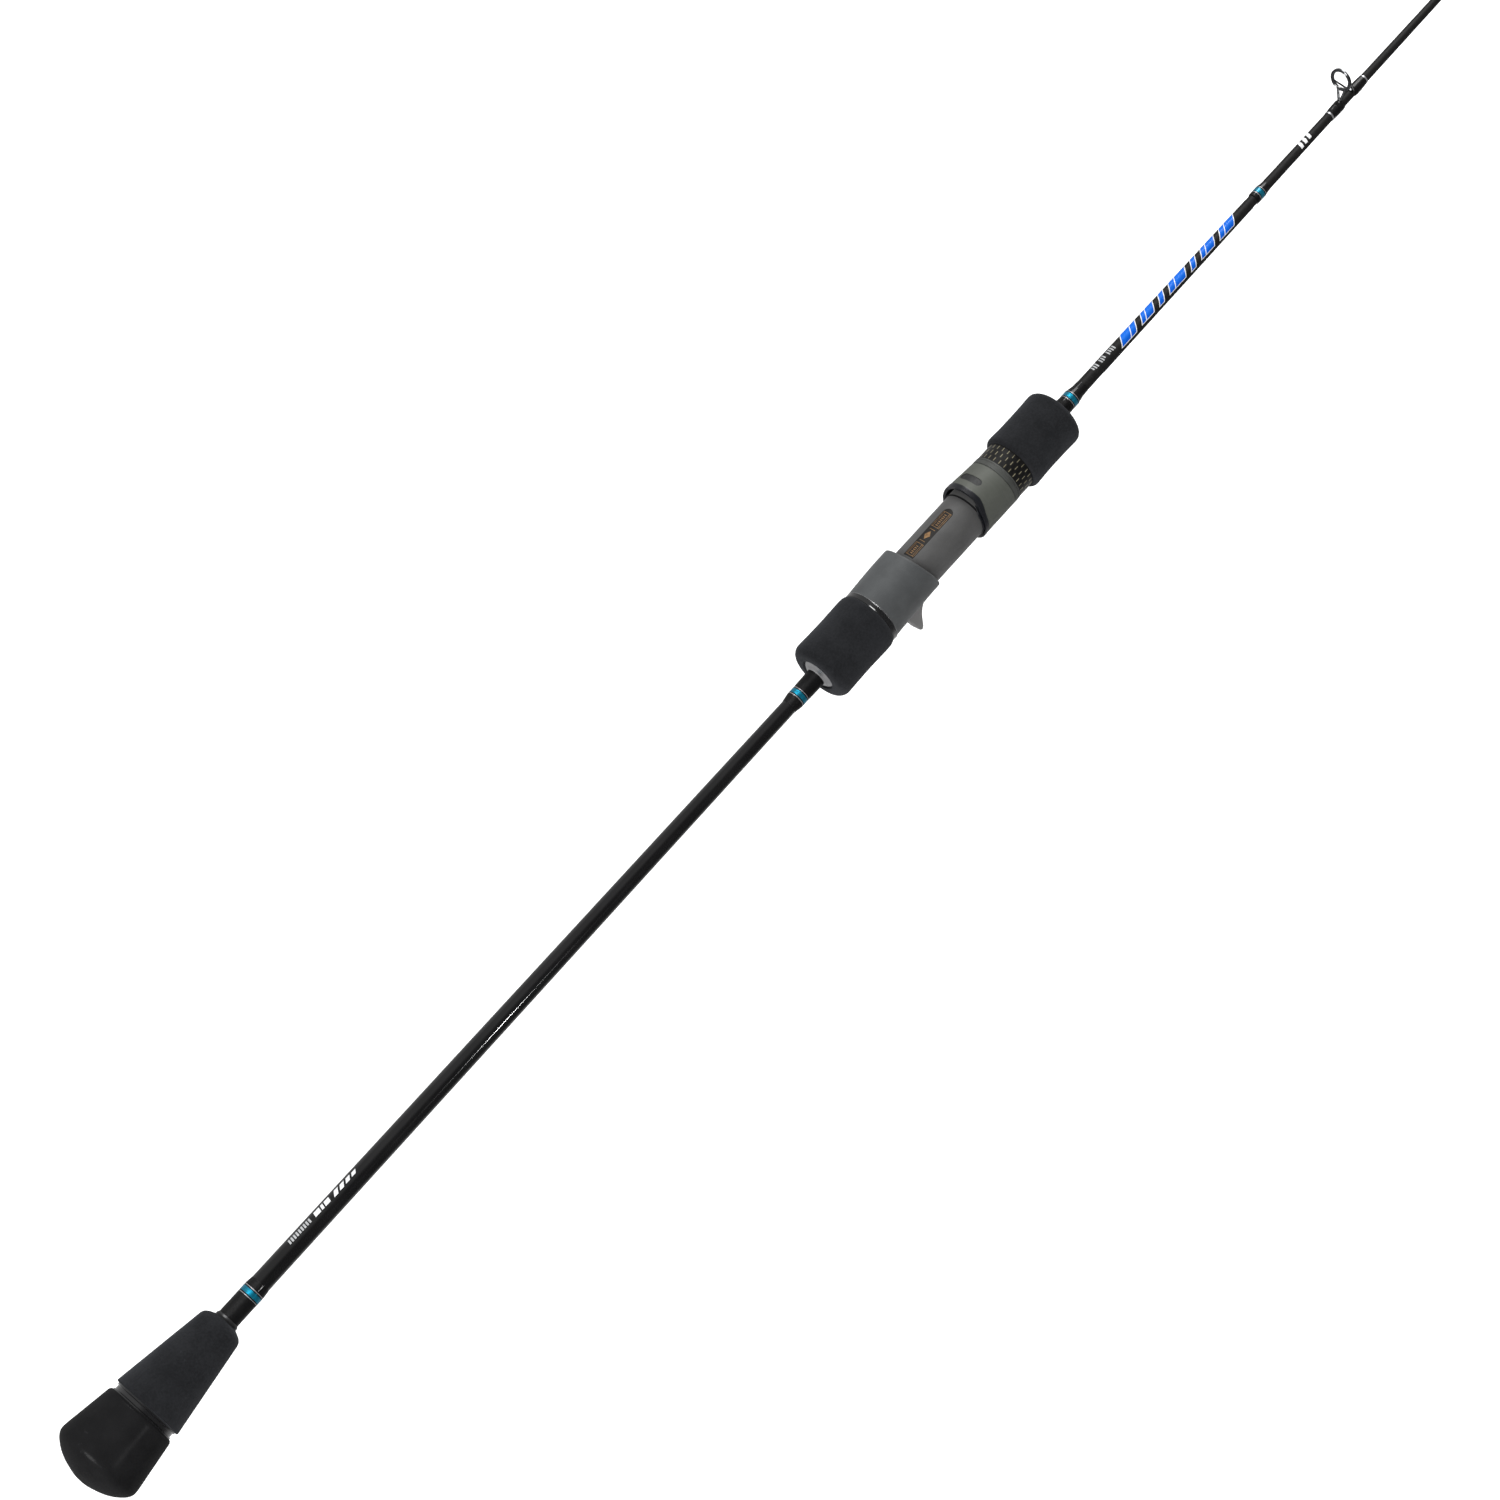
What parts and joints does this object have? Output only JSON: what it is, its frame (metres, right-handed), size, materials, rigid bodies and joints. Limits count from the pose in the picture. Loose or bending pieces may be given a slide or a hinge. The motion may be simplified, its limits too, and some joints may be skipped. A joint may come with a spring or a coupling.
{
  "type": "fishing rod",
  "caption": "Jigging rod with a trigger reel seat, screw-down sliding hood, foam grips, a long slim handle, a spigot joint and ring guides along the top.",
  "frame": {"origin": "centre of the butt cap's end, on the rod's axis", "axes": "+X along the rod to the tip, +Z to the side of the reel and guides, trigger on -Z"},
  "size_m": [1.8578, 0.044, 0.054],
  "materials": {
    "butt_rubber": "matte, fine moulded grain",
    "grip_foam": "dense closed-cell foam, matte with a fine pebble",
    "trim_gloss": "polished black",
    "liner_gloss": "polished black",
    "blank_gloss": "clear-coated black carbon, glossy",
    "blank_satin": "clear-coated charcoal carbon, satin",
    "spigot_carbon": "ground carbon",
    "wrap_thread": "black thread under clear epoxy",
    "band_teal": "metallic blue-green, glossy",
    "line_silver": "bright metallic thread under epoxy",
    "check_metal": "anodised grey, satin",
    "seat_graphite": "graphite-filled nylon, matte",
    "label_inlay": "black with fine copper lines",
    "arbor_foam": "rigid foam",
    "hood_metal": "olive-grey metallic, satin",
    "window_insert": "textured black",
    "nut_plastic": "moulded black",
    "collar_satin": "dark grey satin",
    "carbon_weave": "woven carbon look with gold flecks, high gloss",
    "decal_print": "printed blue and white graphic under clear coat",
    "guide_metal": "polished gunmetal",
    "guide_ceramic": "polished dark ceramic"
  },
  "bodies": {
    "handle": {"blank_butt": "blank_gloss", "butt_cap": "butt_rubber", "butt_check": "check_metal", "butt_cone": "grip_foam", "butt_ring": "trim_gloss", "butt_wrap": "wrap_thread", "butt_wrap_band": "band_teal", "butt_wrap_lines": "line_silver", "decal_film": "decal_print", "ferrule_spigot": "spigot_carbon", "front_wrap": "wrap_thread", "front_wrap_band": "band_teal", "front_wrap_lines": "line_silver", "rear_check": "check_metal", "rear_grip": "grip_foam", "rear_trim_ring": "trim_gloss", "rear_wrap": "wrap_thread", "rear_wrap_band": "band_teal", "rear_wrap_lines": "line_silver", "seat_arbor_front": "arbor_foam", "seat_arbor_rear": "arbor_foam", "seat_body": "seat_graphite", "seat_label": "label_inlay"},
    "hood": {"hood_shell": "hood_metal", "hood_liner": "liner_gloss", "hood_window": "window_insert"},
    "lock_nut": {"nut_core": "nut_plastic", "nut_collar": "collar_satin", "carbon_sleeve": "carbon_weave", "fore_grip": "grip_foam", "fore_check": "nut_plastic"},
    "tip_section": {"blank_tip": "blank_satin", "guide_1_frame": "guide_metal", "guide_1_ring": "guide_ceramic", "guide_2_frame": "guide_metal", "guide_2_ring": "guide_ceramic", "guide_3_frame": "guide_metal", "guide_3_ring": "guide_ceramic", "guide_4_frame": "guide_metal", "guide_4_ring": "guide_ceramic", "guide_5_frame": "guide_metal", "guide_5_ring": "guide_ceramic", "guide_6_frame": "guide_metal", "guide_6_ring": "guide_ceramic", "guide_7_frame": "guide_metal", "guide_7_ring": "guide_ceramic", "guide_8_frame": "guide_metal", "guide_8_ring": "guide_ceramic", "guide_bands": "line_silver", "guide_wraps": "wrap_thread", "mid_wrap": "wrap_thread", "mid_wrap_band": "band_teal", "mid_wrap_lines": "line_silver", "tip_top_frame": "guide_metal", "tip_top_ring": "guide_ceramic"}
  },
  "joints": [
    {"name": "hood_slide", "type": "slide", "parent": "handle", "child": "hood", "axis": [1, 0, 0], "range_m": [0, 0.01401]},
    {"name": "lock_nut_turn", "type": "hinge", "parent": "hood", "child": "lock_nut", "pos_m": [0.66, 0, 0], "axis": [1, 0, 0], "range_deg": [0, 2520]},
    {"name": "section_joint", "type": "slide", "parent": "handle", "child": "tip_section", "axis": [1, 0, 0], "range_m": [0, 0.055]}
  ],
  "couplings": [
    {"joint": "hood_slide", "follows": "lock_nut_turn", "m_per_rad": 0.00031831}
  ]
}
